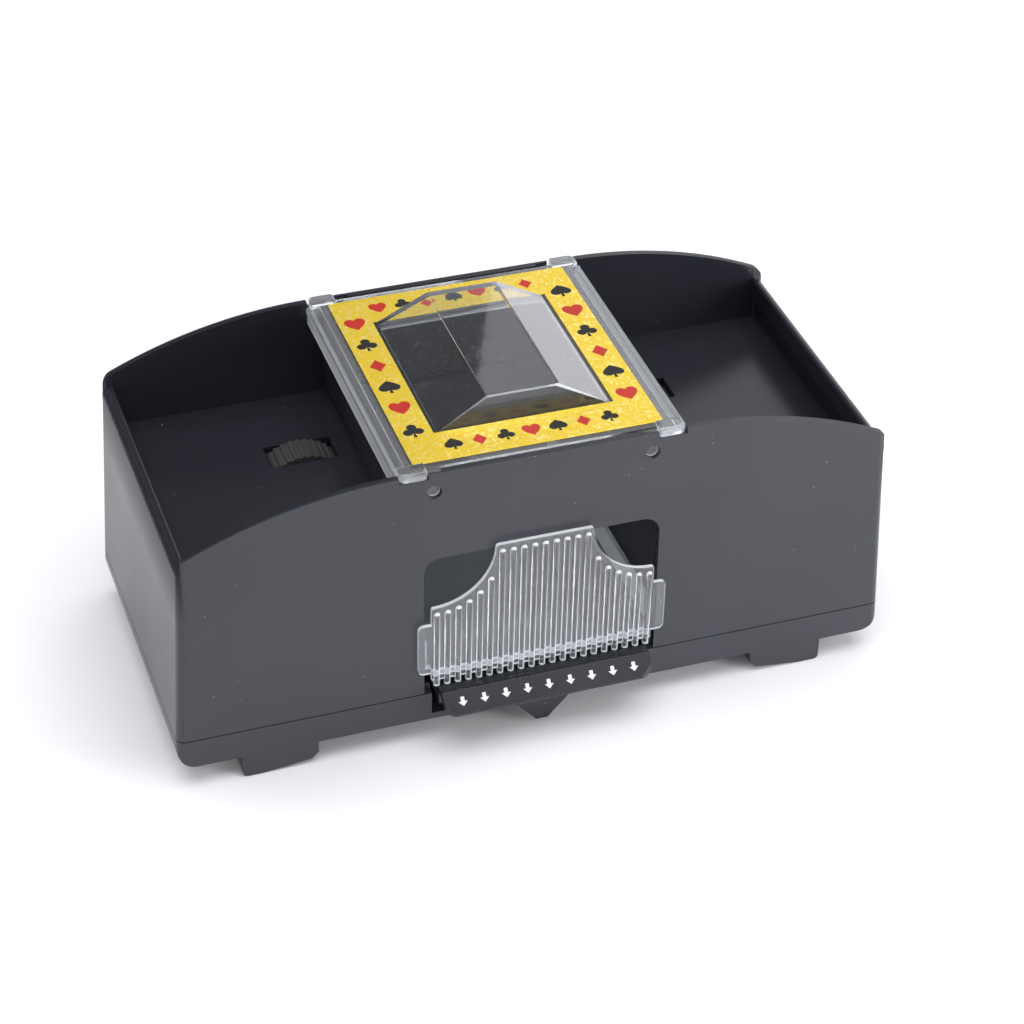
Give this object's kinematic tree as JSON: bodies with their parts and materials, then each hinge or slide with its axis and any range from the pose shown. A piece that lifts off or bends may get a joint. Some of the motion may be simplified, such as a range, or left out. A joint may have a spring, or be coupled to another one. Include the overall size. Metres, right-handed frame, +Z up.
{
  "type": "automatic card shuffler",
  "caption": "Battery-driven card shuffler with two card wells, motorised feed wheels, a domed clear lid, a clear ribbed card tray and a press lever.",
  "frame": {"origin": "under the middle of the whole object, press lever included, on the surface that the feet stand on; the middle of the case lies 5.1 mm behind it", "axes": "+X to the right, +Y to the back, away from the tray window and the lever, +Z up"},
  "size_m": [0.2118, 0.1058, 0.1006],
  "materials": {
    "case_black": "satin black moulding",
    "cover_black": "satin black moulding",
    "inner_black": "black moulding",
    "lever_black": "black moulding",
    "lid_clear": "clear moulded styrene",
    "tray_clear": "clear moulded styrene",
    "label_foil": "yellow foil label",
    "steel": "plated",
    "motor_steel": "zinc plated can",
    "contact_nickel": "nickel plated",
    "contact_brass": "spring bronze",
    "pinion_brass": "turned",
    "nylon": "natural nylon",
    "tyre_rubber": "soft ribbed rubber",
    "cell_wrap": "plain sleeve",
    "wire_red": "insulated lead",
    "wire_black": "insulated lead",
    "wire_blue": "insulated lead"
  },
  "bodies": {
    "case": {"upper_housing": "case_black", "bottom_cover": "cover_black", "chamber_frame": "inner_black", "lever_pin": "steel", "switch_leaf": "contact_brass", "switch_plate": "contact_brass", "case_screws": "steel", "frame_screws": "steel", "wire_red": "wire_red", "wire_black": "wire_black", "wire_link": "wire_blue", "gear_plate_left": "nylon", "motor_can_left": "motor_steel", "motor_cap_left": "nylon", "idler_pin_left": "steel", "shaft_bushes_left": "pinion_brass", "unit_screws_left": "steel", "cell_inner_left": "cell_wrap", "cell_outer_left": "cell_wrap", "contact_springs_left": "contact_nickel", "contact_plates_left": "contact_nickel", "feed_gate_left": "inner_black", "gear_plate_right": "nylon", "motor_can_right": "motor_steel", "motor_cap_right": "nylon", "idler_pin_right": "steel", "shaft_bushes_right": "pinion_brass", "unit_screws_right": "steel", "cell_inner_right": "cell_wrap", "cell_outer_right": "cell_wrap", "contact_springs_right": "contact_nickel", "contact_plates_right": "contact_nickel", "feed_gate_right": "inner_black"},
    "lid_body": {"lid": "lid_clear", "lid_label": "label_foil"},
    "tray_body": {"card_tray": "tray_clear"},
    "lever_body": {"press_lever": "lever_black"},
    "rotor_left": {"motor_shaft_left": "steel", "motor_pinion_left": "pinion_brass"},
    "idler_left": {"idler_gear_left": "nylon"},
    "roller_left": {"feed_shaft_left": "steel", "feed_gear_left": "nylon", "wheel_front_left": "nylon", "wheel_back_left": "nylon", "tyre_front_left": "tyre_rubber", "tyre_back_left": "tyre_rubber", "shaft_clip_left": "steel"},
    "door_left": {"battery_door_left": "cover_black"},
    "rotor_right": {"motor_shaft_right": "steel", "motor_pinion_right": "pinion_brass"},
    "idler_right": {"idler_gear_right": "nylon"},
    "roller_right": {"feed_shaft_right": "steel", "feed_gear_right": "nylon", "wheel_front_right": "nylon", "wheel_back_right": "nylon", "tyre_front_right": "tyre_rubber", "tyre_back_right": "tyre_rubber", "shaft_clip_right": "steel"},
    "door_right": {"battery_door_right": "cover_black"}
  },
  "joints": [
    {"name": "lid_lift", "type": "slide", "parent": "case", "child": "lid_body", "axis": [0, 0, 1], "range_m": [0, 0.03]},
    {"name": "tray_slide", "type": "slide", "parent": "case", "child": "tray_body", "axis": [0, -1, 0], "range_m": [0, 0.095]},
    {"name": "lever_press", "type": "hinge", "parent": "case", "child": "lever_body", "pos_m": [0, -0.0149, 0.0136], "axis": [1, 0, 0], "range_deg": [0, 2.6], "stiffness_Nm_per_rad": 1, "springref_deg": -3.44, "deforming": ["switch_leaf"]},
    {"name": "feed_left", "type": "hinge", "parent": "case", "child": "roller_left", "pos_m": [-0.052, 0.0051, 0.049], "axis": [0, 1, 0], "continuous": true},
    {"name": "idler_left", "type": "hinge", "parent": "case", "child": "idler_left", "pos_m": [-0.06119, 0.0351, 0.04129], "axis": [0, 1, 0], "continuous": true},
    {"name": "motor_left", "type": "hinge", "parent": "case", "child": "rotor_left", "pos_m": [-0.07449, 0.0251, 0.03894], "axis": [0, 1, 0], "continuous": true},
    {"name": "door_left", "type": "slide", "parent": "case", "child": "door_left", "axis": [-1, 0, 0], "range_m": [0, 0.042]},
    {"name": "feed_right", "type": "hinge", "parent": "case", "child": "roller_right", "pos_m": [0.052, 0.0051, 0.049], "axis": [0, -1, 0], "continuous": true},
    {"name": "idler_right", "type": "hinge", "parent": "case", "child": "idler_right", "pos_m": [0.06119, 0.0351, 0.04129], "axis": [0, -1, 0], "continuous": true},
    {"name": "motor_right", "type": "hinge", "parent": "case", "child": "rotor_right", "pos_m": [0.07449, 0.0251, 0.03894], "axis": [0, -1, 0], "continuous": true},
    {"name": "door_right", "type": "slide", "parent": "case", "child": "door_right", "axis": [1, 0, 0], "range_m": [0, 0.042]}
  ],
  "couplings": [
    {"joint": "idler_left", "follows": "feed_left", "ratio": -3},
    {"joint": "motor_left", "follows": "feed_left", "ratio": 10.5},
    {"joint": "idler_right", "follows": "feed_right", "ratio": -3},
    {"joint": "motor_right", "follows": "feed_right", "ratio": 10.5}
  ]
}
